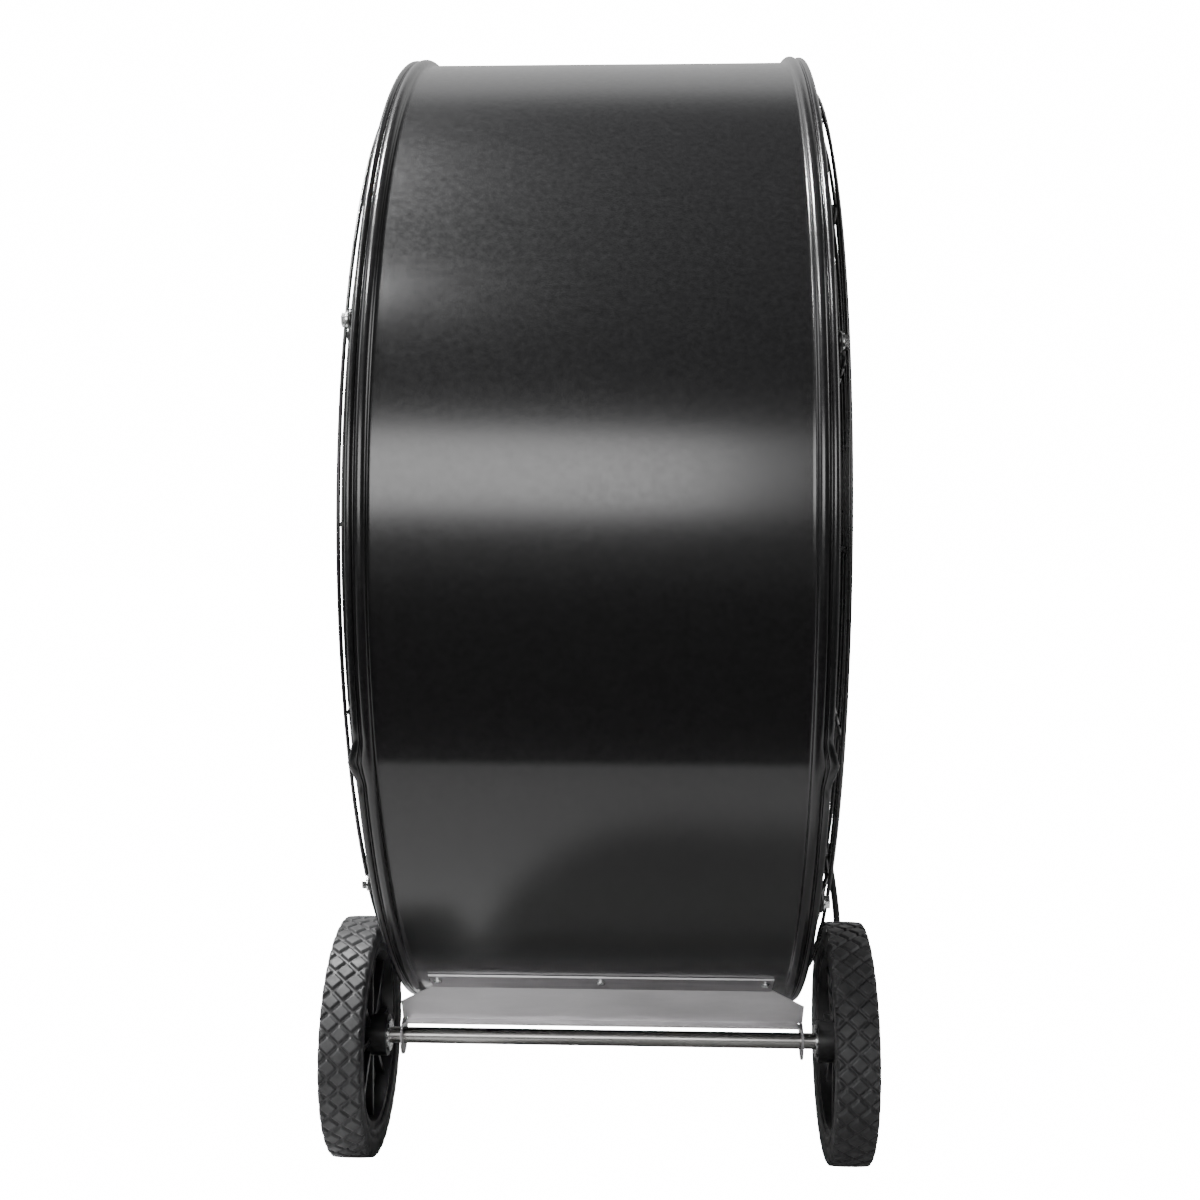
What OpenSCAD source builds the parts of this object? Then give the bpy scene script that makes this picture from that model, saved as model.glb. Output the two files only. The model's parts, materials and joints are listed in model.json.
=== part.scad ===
// Portable belt-drive drum fan on two wheels and a rear foot stand.
// Millimetres, +Z up, floor at z = 0. The fan axis runs along X: air enters at +X and leaves at -X.
// The wheels stand on the -Y side, the handle and the foot stand on the +Y side.
// The origin is on the floor, under the middle of the fan's box.

/* [Drum] */
// Outer radius of the plain drum wall
drum_r = 549.5; // [420:0.5:660]
// Thickness of the rolled sheet
sheet_t = 1.5; // [1:0.1:3]
// Width of the drum between its two edges
drum_w = 431; // [380:1:560]
// Height of the rim beads above the drum wall
bead_h = 6.5; // [3:0.1:10]
// Width of the wide inner bead
bead_w = 11; // [8:0.5:14]
// Width of the narrow outer lip
lip_w = 7; // [5:0.5:9]
// Drop of the middle of the wheel axle below the lowest line of the drum wall
axle_drop = 1; // [0.5:0.5:60]
// Angle of the lap seam below the horizontal, wheel side
seam_angle = 23; // [10:0.5:35]

/* [Guards] */
// Thickness of the ring wire
ring_wire = 3.5; // [2:0.1:5]
// Thickness of the spoke wire
spoke_wire = 5; // [4:0.1:7]
// Distance of the ring plane outside the drum edge
guard_rise = 15.5; // [12:0.5:30]
// Spacing of the guard rings
ring_pitch = 21; // [15:1:40]
// Distance of the outermost flat ring inside the drum wall
guard_inset = 44; // [36:1:80]
// Radius of the round centre plate
guard_plate_r = 70; // [50:1:110]
// Distance of the guard bolts inside the drum wall
bolt_inset = 11.5; // [10.5:0.5:16]
// Number of bolts and long spokes on each guard
guard_bolts = 6; // [4:1:8]
// Thread size of the guard bolts
guard_bolt_d = 6; // [5:0.5:8]
// Angle of the first bolt on the outlet guard
outlet_phase = 160; // [150:0.5:170]
// Angle of the first bolt on the intake guard
intake_phase = 162.5; // [150:0.5:170]

/* [Wheels] */
// Radius of the tyres
wheel_r = 127; // [100:1:160]
// Width of the tyres
tyre_w = 44.4; // [35:0.1:60]
// Thickness of the tyres between the wheel rim and the tread
tyre_h = 29; // [20:1:45]
// Gap between the drum's edge and the inner face of a tyre
wheel_gap = 24.2; // [21:0.1:60]
// Diameter of the axle
axle_d = 17; // [14:0.1:20]
// Distance of the axle in front of the fan axis
axle_fwd = 240; // [200:1:300]
// Number of spokes in a wheel
wheel_spokes = 8; // [5:1:12]

/* [Axle bracket] */
// Thickness of the bracket sheet
bracket_t = 2; // [1.5:0.1:3]
// Distance of the ends of the screwed flange inside the drum's edges
flange_inset = 32.5; // [26:0.5:90]
// Angle of the screws below the horizontal
flange_angle = 60.8; // [58:0.1:64]
// Length of the flange above its screws
flange_up = 17; // [12:0.5:25]
// Distance of the bracket's ears outside the drum's edges
ear_gap = 1.5; // [1:0.5:10]
// Depth of the lip at the foot of the plate
lip_depth = 17; // [14:0.5:24]
// Height of the lip above the middle of the axle
lip_rise = 19.3; // [18:0.1:30]
// Radius of the round ears
ear_r = 20; // [17:0.5:24]

/* [Stand and handle] */
// Diameter of the handle and stand tubes
tube_d = 25; // [20:0.5:32]
// Wall of the handle and stand tubes
tube_wall = 1.8; // [1.2:0.1:3]
// Distance between the two arms of the handle
handle_w = 340; // [240:1:380]
// Reach of the grip behind the drum wall
handle_reach = 101; // [80:1:160]
// Angle of the handle's pads above the horizontal
handle_angle = 42; // [30:0.5:50]
// Length of the rubber grip
grip_l = 200; // [120:1:220]
// Distance between the two legs of the stand
stand_w = 320; // [240:1:360]
// Angle of the stand's pads below the horizontal
stand_angle = 52; // [45:0.5:60]
// Height of the rubber feet
foot_h = 10; // [6:0.5:16]

/* [Fan and drive] */
// Gap between the blade tips and the inside of the drum wall
tip_gap = 15; // [6:0.5:80]
// Number of blades
blades = 6; // [4:1:8]
// Width of a blade along its chord
blade_chord = 210; // [150:1:250]
// Pitch angle of the blades
blade_pitch = 26; // [18:0.5:32]
// Diameter of the fan shaft
shaft_d = 25; // [20:0.5:30]
// Middle of the strut that carries the fan shaft
strut_x = 52; // [45:1:60]
// Outer radius of the large pulley
pulley_r = 152; // [120:1:170]
// Outer radius of the motor pulley
motor_pulley_r = 38; // [32:1:45]
// Radius of the motor
motor_r = 82; // [70:1:90]
// Length of the motor
motor_l = 150; // [130:1:160]

/* [Switch and cord] */
// Width, depth and height of the switch box
switch_box = [80, 46, 100]; // [40:1:120]
// Radius of the switch knob
knob_r = 19; // [14:0.5:24]
// Diameter of the power cord
cord_d = 9; // [7:0.5:10]
// Radius of the middle of the stored coil's turns
coil_r = 50; // [45:1:55]
// Turns of the stored coil
coil_turns = 6; // [5:1:7]

/* [Hidden] */
$fn = 96;

// Clearances
run_gap = 0.05;         // radial gap of a shaft that turns in its hole
hole_gap = 0.25;        // radial gap of a bolt in its hole
seat_gap = 0.1;         // gap between parts that lie on each other
free_gap = 0.5;         // gap between the belt and what turns beside it

// The drum and its place
half_w = drum_w / 2;
inner_r = drum_r - sheet_t;
bead_r = drum_r + bead_h;
grip_y = drum_r + handle_reach;
axis_rise = drum_r + axle_drop;
axle_z = wheel_r;
drum_z = axle_z + axis_rise;
grip_t = 3.5;
drum_y = -(grip_y + tube_d / 2 + grip_t - bead_r) / 2;
rim_arc = 10;
bead_foot = 0.8;        // rise where a bead meets the wall
lip_foot = 2.2;         // rise of the groove between bead and lip
seam_r = 0.9;           // radius of the weld along the lap seam
pinch_r = 4.4;          // radius of the pinch where the seam crosses a bead
bead_x = half_w - lip_w - bead_w / 2 - 1;

// The guards
ring_x = half_w + guard_rise;
spoke_x = ring_x - ring_wire / 2 - spoke_wire / 2 - seat_gap;
ring_top_r = drum_r - guard_inset;
edge_ring_x = ring_x - 3.4;
ring_count = floor((ring_top_r - guard_plate_r - 4) / ring_pitch);
bolt_r = drum_r - bolt_inset;
eyelet_r = guard_bolt_d / 2 + hole_gap + 2 + spoke_wire / 2;
eyelet_x = half_w + spoke_wire / 2 + seat_gap;
tab_t = 2.5;
tab_x = half_w;
tab_w = 22;
tab_leg = 24;
tab_arm = 30;
bolt_flange_r = guard_bolt_d * 1.35;
bolt_hex_r = guard_bolt_d * 0.95;
plate_t = 3;
spoke_root = guard_plate_r - 12;

// The wheels and the axle
axle_y = drum_y - axle_fwd;
wheel_x = half_w + wheel_gap;
rim_r = wheel_r - tyre_h;
hub_r = 22;
hub_in = wheel_x - 7;
hub_out = wheel_x + tyre_w + 3;
washer_t = 2;
washer_r = 17;
cap_r = 14;
cap_l = 9;

// The bracket, measured from the fan axis in the (y, z) plane
ta = 180 + flange_angle;
flange_w = drum_w - 2 * flange_inset;
bracket_w = drum_w + 2 * ear_gap;
flange_c = drum_r + seat_gap;
plate_y = -axle_fwd - bracket_t / 2;
flange_down = (plate_y + bracket_t - flange_c * cos(ta)) / -sin(ta);
bend_z = flange_c * sin(ta) + flange_down * cos(ta);
lip_z = -axis_rise + lip_rise;
ear_bend = 8;
corner_lap = 0.4;       // overlap of the two leaves at the bend
shoulder_drop = 17;     // fall of the plate's sloping shoulders
screw_r = 2.5;          // radius of the bracket screws

// Handle and stand
tube_r = tube_d / 2;
bend_r = 45;
pad_t = 3;
pad_w = 44;
pad_l = 96;
pad_bolt = 36;
pad_bolt_l = 15;
nut_seat_r = sqrt(pow(inner_r, 2) - pow(pad_bolt + 8, 2)) - seat_gap;
m8 = 8;
m8_hex = 6.5;
m8_flange = 8.5;
stand_y = drum_y + (drum_r + pad_t) * cos(stand_angle);
stand_pad_z = drum_z - (drum_r + pad_t) * sin(stand_angle);
stand_h = stand_pad_z - foot_h + 10;
handle_y = drum_y + grip_y;
handle_z = drum_z + (drum_r + pad_t) * sin(handle_angle);
handle_l = handle_reach + drum_r * (1 - cos(handle_angle)) + 20;
grip_ribs = 9;
grip_rib_w = 12;

// The strut, the shaft, the blades and the bearings
blade_r = inner_r - tip_gap;
strut_w = 86;
strut_d = 50;
strut_t = 3;
strut_end = inner_r - 9;
spacer_r = 13;
spacer_l = sqrt(pow(inner_r, 2) - pow(spacer_r, 2)) - strut_end - 3 * seat_gap;
bearing_r = 34;
bearing_t = 22;
bearing_boss_r = 25.5;
shaft_in = -158;
shaft_out = strut_x + strut_w / 2 + 2 * bearing_t + 42;
hub_x = -108;
hub_l = 46;
belt_x = strut_x + strut_w / 2 + bearing_t + 30;
belt_w = 13;
belt_h = 8;
pulley_w = 21;
belt_in = 10;
hub_r_boss = 38;
hub_plate_r = 90;
arm_r = 215;
blade_t = 2.5;
camber_r = 420;
arm_gap = 0.9;
rivet_r = 3;

// The motor, measured from the fan axis
motor_y = 165;
motor_z = -250;
motor_x0 = -22;
motor_shaft_r = 8;
motor_x1 = motor_x0 + motor_l;
bell_l = 13.9;
vents = 12;
motor_base_t = 4;
motor_base_z = motor_z - motor_r - 14;
base_bolt_x = 28;
base_bolt_drop = 12;
base_l = 90;
saddle_h = 44;
gland_drop = 52.5;

// The switch, on the drum wall behind
switch_x = 120;
switch_angle = 8;
knob_l = 16;
lead_d = 8;
box_lift = 0.1;
grommet_r = 9;

// The power cord: out of the motor, through the intake guard, down to the floor and back to the coil.
// Points are [x, y, z] with y from the fan axis and z from the floor.
gland_x = motor_x1 + 4;
gland_l = 50;
cord_pts = [
    [182, 165, 375], [192, 165, 375], [204, 165, 375], [218, 165, 374], [231, 165, 371],
    [245, 165, 364], [258, 164, 353], [269, 163, 338], [277, 162, 318], [283, 160, 290],
    [289, 158, 257], [296, 156, 215], [301, 154, 175], [303, 153, 135], [303, 154, 98],
    [302, 158, 66], [301, 168, 38], [300, 186, 17], [300, 212, 6], [300, 245, 4.5],
    [304, 300, 4.5], [310, 360, 4.5], [316, 420, 4.5], [321, 480, 4.5], [323, 530, 4.5],
    [318, 575, 4.5], [304, 612, 4.5], [282, 640, 4.5], [254, 655, 4.5], [225, 659, 4.5]
];
tail_pts = [[166, 600, 13.5], [166, 588, 13.5], [166, 576, 13.5], [165, 564, 13.5], [164, 550, 13.5]];

// The lead from the motor's box to the switch, [x, y, z] from the fan axis
lead_pts = [[56, 197.2, -157], [56, 207, -157], [58, 240, -160], [66, 285, -166], [77, 335, -167],
    [88, 380, -160], [98, 420, -143], [108, 454, -112], [115, 475, -74], [119, 488, -34],
    [120, 493, 4], [120, 494.7, 24], [120, 494.7, 39.9], [120, 496.7, 51.5], [120, 503, 62.2],
    [120, 512.7, 69.9], [120, 524, 73.6], [120, 532, 74.8], [120, 540, 75.9], [120, 546.5, 76.8]];
plug_l = 42;
pin_l = 17;
coil_x = 225;
coil_y = 600;
coil_layers = 2;

// ---- placing and shared shapes ----

// Puts children in the fan's own frame: origin on the fan axis, at the middle of the drum
module at_axis() {
    translate([0, drum_y, drum_z]) children();
}

// Puts children on the fan axis circle of radius r at angle a, with their +Z pointing outwards
module at_angle(r, a) {
    at_axis() rotate([a - 90, 0, 0]) translate([0, 0, r]) children();
}

// Turns a shape that is built along Z so that it lies along X
module along_x() {
    rotate([90, 0, 90]) children();
}

// A round bar along X from x0 to x1
module bar_x(x0, x1, r) {
    translate([x0, 0, 0]) rotate([0, 90, 0]) cylinder(h = x1 - x0, r = r);
}

// A ring about X with a round section
module ring_x_axis(x, r, wire) {
    translate([x, 0, 0]) rotate([0, 90, 0]) rotate_extrude() translate([r, 0]) circle(d = wire, $fn = 24);
}

// A body turned about X from a profile of [x, radius] points
module turned(profile) {
    rotate([0, 90, 0]) rotate_extrude() polygon([for (p = profile) [p[1], p[0]]]);
}

// Mirrors children to the outlet side when s is negative
module side(s) {
    if (s < 0) mirror([1, 0, 0]) children();
    else children();
}

// A straight tube between two points
module rod(a, b, r) {
    d = b - a;
    l = norm(d);
    translate(a) rotate([0, acos(d[2] / l), atan2(d[1], d[0])]) cylinder(h = l, r = r);
}

// A hexagon head or nut along Z, lying on z = 0
module hex(r, h) {
    cylinder(h = h, r = r / cos(30), $fn = 6);
}

// ---- drum ----

// Outer outline of one rim, from the drum wall out to the edge
function rim_outline(s) = [
    [s * (half_w - lip_w - bead_w - 4), drum_r],
    for (a = [180 - rim_arc : -20 : rim_arc])
        [s * (bead_x + cos(a) * bead_w / 2), drum_r + bead_foot + (bead_h - bead_foot) * sin(a)],
    [s * (half_w - lip_w), drum_r + lip_foot],
    for (a = [150 : -30 : 0])
        [s * (half_w - lip_w / 2 + cos(a) * lip_w / 2),
            drum_r + lip_foot + (bead_h - lip_foot - 1) * sin(a)],
    [s * half_w, inner_r]
];

function rev(v) = [for (i = [len(v) - 1 : -1 : 0]) v[i]];

module drum_shell() {
    color([0.06, 0.06, 0.065]) difference() {
        union() {
            at_axis() turned(concat(rev(rim_outline(-1)), rim_outline(1)));
            // weld along the lap seam, and the pinch where it crosses the beads
            at_angle(drum_r, 180 + seam_angle)
                bar_x(-half_w + lip_w + bead_w, half_w - lip_w - bead_w, seam_r);
            for (s = [-1, 1]) at_angle(drum_r + bead_h + 1 - pinch_r, 180 + seam_angle)
                translate([s * bead_x, 0, 0]) sphere(r = pinch_r, $fn = 24);
        }
        for (a = [90, 270]) at_angle(inner_r - 2, a) translate([strut_x, 0, 0])
            cylinder(h = bead_h + 6, r = m8 / 2 + hole_gap);
        for (x = bracket_screw_x()) at_angle(inner_r - 4, ta) translate([x, 0, 0])
            cylinder(h = 12, r = screw_r + hole_gap);
        pad_holes(handle_w, handle_angle);
        pad_holes(stand_w, -stand_angle);
        at_angle(inner_r - 4, switch_angle) translate([switch_x, 0, 0])
            cylinder(h = 12, r = grommet_r + hole_gap);
    }
}

module pad_holes(w, a) {
    for (s = [-1, 1], t = [-1, 1]) at_angle(inner_r - 6, a)
        translate([s * w / 2, t * pad_bolt, 0]) cylinder(h = 20, r = m8 / 2 + hole_gap);
}

// ---- guards ----

function phase(s) = s < 0 ? outlet_phase : intake_phase;
function bolt_angles(s) = [for (i = [0 : guard_bolts - 1]) phase(s) + i * 360 / guard_bolts];

// Angle tabs inside the drum that the guards are bolted to
module guard_tabs() {
    color([0.07, 0.07, 0.07]) for (s = [-1, 1], a = bolt_angles(s)) at_angle(0, a) side(s) {
        difference() {
            union() {
                translate([tab_x - tab_t, -tab_w / 2, bolt_r - tab_leg / 2])
                    cube([tab_t, tab_w, tab_leg / 2 + bolt_inset - sheet_t - 3 * seat_gap]);
                translate([tab_x - tab_arm, -tab_w / 2, inner_r - tab_t - 0.3])
                    cube([tab_arm, tab_w, tab_t]);
            }
            translate([tab_x - tab_t - 1, 0, bolt_r]) rotate([0, 90, 0])
                cylinder(h = tab_t + 2, r = guard_bolt_d / 2 + hole_gap);
        }
    }
}

module guard_rings(s) {
    color([0.04, 0.04, 0.04]) at_axis() {
        for (i = [0 : ring_count]) ring_x_axis(s * ring_x, ring_top_r - i * ring_pitch, ring_wire);
        ring_x_axis(s * edge_ring_x, ring_top_r + 14, ring_wire);
    }
}

// Long spokes end in an eyelet at each bolt, short ones end at the outermost ring
module guard_spokes(s) {
    knee = [s * spoke_x, 0, ring_top_r + 4];
    foot = [s * eyelet_x, 0, bolt_r - eyelet_r];
    color([0.04, 0.04, 0.04]) for (a = bolt_angles(s)) {
        at_angle(0, a) {
            translate([s * spoke_x, 0, spoke_root]) cylinder(h = knee[2] - spoke_root, d = spoke_wire);
            translate(knee) sphere(d = spoke_wire, $fn = 32);
            rod(knee, foot, spoke_wire / 2);
            translate([s * eyelet_x, 0, bolt_r]) rotate([0, 90, 0]) rotate_extrude()
                translate([eyelet_r, 0]) circle(d = spoke_wire, $fn = 32);
        }
        for (k = [1, 2]) at_angle(0, a + k * 120 / guard_bolts)
            translate([s * spoke_x, 0, spoke_root])
                cylinder(h = ring_top_r + 2 - spoke_root, d = spoke_wire);
    }
}

module guard_plates() {
    x = ring_x - ring_wire / 2;
    r = guard_plate_r - 2;
    color([0.05, 0.05, 0.05]) at_axis() for (s = [-1, 1]) side(s)
        turned([[x, 0], [x, r], [x + plate_t, r], [x + 2 * plate_t, r - 12], [x + 2 * plate_t, 0]]);
}

module guard_bolts_group(s) {
    head_x = eyelet_x + spoke_wire / 2 + 2 * seat_gap;
    color([0.75, 0.75, 0.74]) for (a = bolt_angles(s)) at_angle(bolt_r, a) side(s) {
        translate([head_x, 0, 0]) rotate([0, 90, 0]) {
            cylinder(h = 1.6, r = bolt_flange_r);
            translate([0, 0, 1.6]) hex(bolt_hex_r, guard_bolt_d * 0.75);
        }
        bar_x(tab_x - tab_t - 9, head_x, guard_bolt_d / 2);
    }
}

module guard_nuts() {
    color([0.75, 0.75, 0.74]) for (s = [-1, 1], a = bolt_angles(s)) at_angle(bolt_r, a) side(s)
        difference() {
            translate([tab_x - tab_t - seat_gap - 5, 0, 0]) rotate([0, 90, 0])
                rotate([0, 0, 30]) hex(bolt_hex_r, 5);
            bar_x(tab_x - tab_t - 8, tab_x, guard_bolt_d / 2 + run_gap);
        }
}

// ---- axle bracket ----

function bracket_screw_x() = [-flange_w / 2 + 8, 0, flange_w / 2 - 8];

module axle_bracket() {
    color([0.62, 0.62, 0.61]) difference() {
        union() {
            // flange on the drum
            at_angle(flange_c, ta) translate([-flange_w / 2, -flange_down - corner_lap, 0])
                cube([flange_w, flange_up + flange_down + corner_lap, bracket_t]);
            at_axis() {
                // upright plate with angled shoulders
                translate([0, plate_y + bracket_t, 0]) rotate([90, 0, 0])
                    linear_extrude(bracket_t) polygon([
                    [-flange_w / 2 - 1, bend_z + 0.5], [flange_w / 2 + 1, bend_z + 0.5],
                    [bracket_w / 2 + 2, bend_z - shoulder_drop], [bracket_w / 2, lip_z],
                    [-bracket_w / 2, lip_z], [-bracket_w / 2 - 2, bend_z - shoulder_drop]]);
                // lip at the foot of the plate
                translate([-bracket_w / 2 + ear_bend, plate_y + bracket_t - lip_depth, lip_z - bracket_t])
                    cube([bracket_w - 2 * ear_bend, lip_depth, bracket_t]);
                for (s = [-1, 1]) side(s) ear();
            }
        }
        at_axis() translate([0, -axle_fwd, -axis_rise])
            bar_x(-bracket_w, bracket_w, axle_d / 2 + hole_gap);
        for (x = bracket_screw_x()) at_angle(flange_c - 1, ta) translate([x, 0, 0])
            cylinder(h = bracket_t + 2, r = screw_r + hole_gap);
    }
}

// One ear: a rounded tab that hangs from the end of the lip and holds the axle
module ear() {
    x = bracket_w / 2;
    translate([x - ear_bend, plate_y + bracket_t - lip_depth, lip_z - ear_bend]) intersection() {
        rotate([-90, 0, 0]) difference() {
            cylinder(h = lip_depth, r = ear_bend);
            translate([0, 0, -1]) cylinder(h = lip_depth + 2, r = ear_bend - bracket_t);
        }
        cube([ear_bend, lip_depth, ear_bend]);
    }
    translate([x - bracket_t, -axle_fwd - ear_r, -axis_rise])
        cube([bracket_t, 2 * ear_r, lip_rise - ear_bend]);
    translate([0, -axle_fwd, -axis_rise]) bar_x(x - bracket_t, x, ear_r);
}

module bracket_screws() {
    color([0.8, 0.8, 0.79]) for (x = bracket_screw_x()) at_angle(flange_c + bracket_t + seat_gap, ta)
        translate([x, 0, 0]) difference() {
            union() {
                cylinder(h = 1.2, r = 5);
                translate([0, 0, 1.2]) cylinder(h = 1.4, r1 = 5, r2 = 3.6);
                translate([0, 0, -16]) cylinder(h = 16.5, r = screw_r);
            }
            for (q = [0, 90]) rotate([0, 0, q]) translate([-2.6, -0.55, 1]) cube([5.2, 1.1, 3]);
        }
}

module bracket_nuts() {
    color([0.75, 0.75, 0.74]) for (x = bracket_screw_x()) at_angle(inner_r - 4.4, ta) translate([x, 0, 0])
        difference() {
            hex(4.6, 4);
            translate([0, 0, -1]) cylinder(h = 6, r = screw_r + run_gap);
        }
}

// ---- axle and wheels ----

module at_axle() {
    translate([0, axle_y, axle_z]) children();
}

module axle() {
    color([0.45, 0.45, 0.44]) at_axle() bar_x(-hub_out - cap_l + 1, hub_out + cap_l - 1, axle_d / 2);
}

// A washer inside each wheel hub and one outside it
module axle_washers() {
    color([0.7, 0.7, 0.69]) at_axle() for (s = [-1, 1], x = [hub_in - washer_t - 0.4, hub_out + 0.4])
        side(s) difference() {
            bar_x(x, x + washer_t, washer_r);
            bar_x(x - 1, x + washer_t + 1, axle_d / 2 + run_gap);
        }
}

// Domed caps pressed on the ends of the axle
module axle_caps() {
    x = hub_out + washer_t + 0.4 + seat_gap;
    color([0.7, 0.7, 0.69]) at_axle() for (s = [-1, 1]) side(s) difference() {
        turned([[x, 0], [x, cap_r], [x + 1.5, cap_r], [x + 3, axle_d / 2 + 2.5],
            [x + cap_l - 2, axle_d / 2 + 2.5], [x + cap_l, axle_d / 2 - 1], [x + cap_l, 0]]);
        bar_x(x - 1, hub_out + cap_l - 1 + seat_gap, axle_d / 2 + run_gap);
    }
}

// The tyre's section: a slightly crowned tread, round shoulders and a flat bead on the rim
module tyre(s) {
    w = tyre_w / 2;
    mid = s * (wheel_x + w);
    color([0.09, 0.09, 0.09]) at_axle() translate([mid, 0, 0]) turned([
        [-w + 3, rim_r + seat_gap], [-w + 0.6, rim_r + 4], [-w, wheel_r - 16], [-w, wheel_r - 7],
        [-w + 1.6, wheel_r - 3.4], [-w + 6, wheel_r - 1.2], [-w + 13, wheel_r - 0.3], [0, wheel_r],
        [w - 13, wheel_r - 0.3], [w - 6, wheel_r - 1.2], [w - 1.6, wheel_r - 3.4],
        [w, wheel_r - 7], [w, wheel_r - 16], [w - 0.6, rim_r + 4], [w - 3, rim_r + seat_gap]]);
}

// The moulded wheel: rim, hub, web with windows, and ribs
module wheel(s) {
    w = tyre_w / 2;
    mid = s * (wheel_x + w);
    color([0.05, 0.05, 0.05]) at_axle() difference() {
        union() {
            translate([mid, 0, 0]) turned([[-w + 4, rim_r], [-w + 4, rim_r - 8], [-4, rim_r - 11],
                [-3, hub_r - 2], [3, hub_r - 2], [4, rim_r - 11], [w - 4, rim_r - 8], [w - 4, rim_r]]);
            side(s) bar_x(hub_in, hub_out, hub_r);
            for (i = [0 : wheel_spokes - 1]) translate([mid, 0, 0]) rotate([i * 360 / wheel_spokes, 0, 0])
                translate([-12, -3, hub_r - 3]) cube([24, 6, rim_r - hub_r - 3]);
        }
        for (i = [0 : wheel_spokes - 1]) translate([mid, 0, 0])
            rotate([(i + 0.5) * 360 / wheel_spokes, 0, 0]) {
                translate([0, 0, rim_r * 0.68]) bar_x(-5, 5, 12);
                translate([0, 0, rim_r * 0.45]) bar_x(-5, 5, 6);
            }
        bar_x(min(s * hub_in, s * hub_out) - 1, max(s * hub_in, s * hub_out) + 1, axle_d / 2 + run_gap);
    }
}

// ---- rear stand ----

// A tube bent into a U in the XZ plane: two legs that stand on z = 0 and a cross bar
module u_tube(w, h, r_out, r_in) {
    module solid(r) {
        for (s = [-1, 1]) {
            translate([s * w / 2, 0, bend_r]) cylinder(h = h - bend_r, r = r);
            translate([s * (w / 2 - bend_r), 0, bend_r]) rotate([90, 0, 0]) intersection() {
                rotate_extrude() translate([bend_r, 0]) circle(r = r);
                translate([s < 0 ? -2 * bend_r : 0, -2 * bend_r, -bend_r]) cube(2 * bend_r);
            }
        }
        bar_x(-w / 2 + bend_r, w / 2 - bend_r, r);
    }
    difference() {
        solid(r_out);
        solid(r_in);
    }
}

// Everything outside the pad's outer face
module outside_pad(a) {
    at_angle(drum_r + seat_gap + pad_t + 0.02, a) translate([-500, -500, 0]) cube([1000, 1000, 600]);
}

module stand_tube() {
    color([0.06, 0.06, 0.06]) intersection() {
        translate([0, stand_y, foot_h + tube_r]) u_tube(stand_w, stand_h, tube_r, tube_r - tube_wall);
        outside_pad(-stand_angle);
    }
}

module pads(w, a) {
    for (s = [-1, 1]) at_angle(drum_r + seat_gap, a) translate([s * w / 2, 0, 0]) difference() {
        translate([-pad_w / 2, -pad_l / 2, 0]) cube([pad_w, pad_l, pad_t]);
        for (t = [-1, 1]) translate([0, t * pad_bolt, -1]) cylinder(h = pad_t + 2, r = m8 / 2 + hole_gap);
    }
}

// Bolts with flange heads outside and nuts inside the drum wall
module pad_bolts(w, a) {
    for (s = [-1, 1], t = [-1, 1]) {
        at_angle(drum_r + 2 * seat_gap + pad_t, a) translate([s * w / 2, t * pad_bolt, 0]) {
            cylinder(h = 1.5, r = m8_flange);
            translate([0, 0, 1.5]) hex(m8_hex, 5);
            translate([0, 0, -pad_bolt_l]) cylinder(h = pad_bolt_l + 0.5, r = m8 / 2);
        }
    }
}

// Nuts inside the drum on the bolts of the handle and of the stand
module pad_nuts() {
    pairs = [[handle_w, handle_angle], [stand_w, -stand_angle]];
    color([0.75, 0.75, 0.74]) for (p = pairs, s = [-1, 1], t = [-1, 1])
        at_angle(nut_seat_r, p[1]) translate([s * p[0] / 2, t * pad_bolt, -6]) difference() {
            hex(m8_hex, 6);
            translate([0, 0, -1]) cylinder(h = 8, r = m8 / 2 + run_gap);
        }
}

module stand_pads() {
    color([0.06, 0.06, 0.06]) pads(stand_w, -stand_angle);
}

module stand_bolts() {
    color([0.75, 0.75, 0.74]) pad_bolts(stand_w, -stand_angle);
}

module stand_feet() {
    color([0.1, 0.1, 0.1]) for (s = [-1, 1]) translate([s * (stand_w / 2 - bend_r - 22), stand_y, 0])
        difference() {
            union() {
                cylinder(h = foot_h, r1 = 20, r2 = 17);
                translate([-17, -9, foot_h - 1]) cube([34, 18, tube_r]);
            }
            translate([0, 0, foot_h + tube_r]) bar_x(-40, 40, tube_r + seat_gap);
        }
}

// ---- handle ----

module handle_tube() {
    color([0.06, 0.06, 0.06]) intersection() {
        translate([0, handle_y, handle_z]) rotate([90, 0, 0])
            u_tube(handle_w, handle_l, tube_r, tube_r - tube_wall);
        outside_pad(handle_angle);
    }
}

module handle_grip() {
    color([0.1, 0.1, 0.1]) translate([0, handle_y, handle_z]) difference() {
        union() {
            bar_x(-grip_l / 2, grip_l / 2, tube_r + grip_t - 0.8);
            for (i = [0 : grip_ribs - 1])
                translate([-grip_l / 2 + i * (grip_l - grip_rib_w) / (grip_ribs - 1), 0, 0])
                    bar_x(0, grip_rib_w, tube_r + grip_t);
        }
        bar_x(-grip_l, grip_l, tube_r + run_gap);
    }
}

module handle_pads() {
    color([0.06, 0.06, 0.06]) pads(handle_w, handle_angle);
}

module handle_bolts() {
    color([0.75, 0.75, 0.74]) pad_bolts(handle_w, handle_angle);
}

// ---- strut, bearings ----

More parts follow.
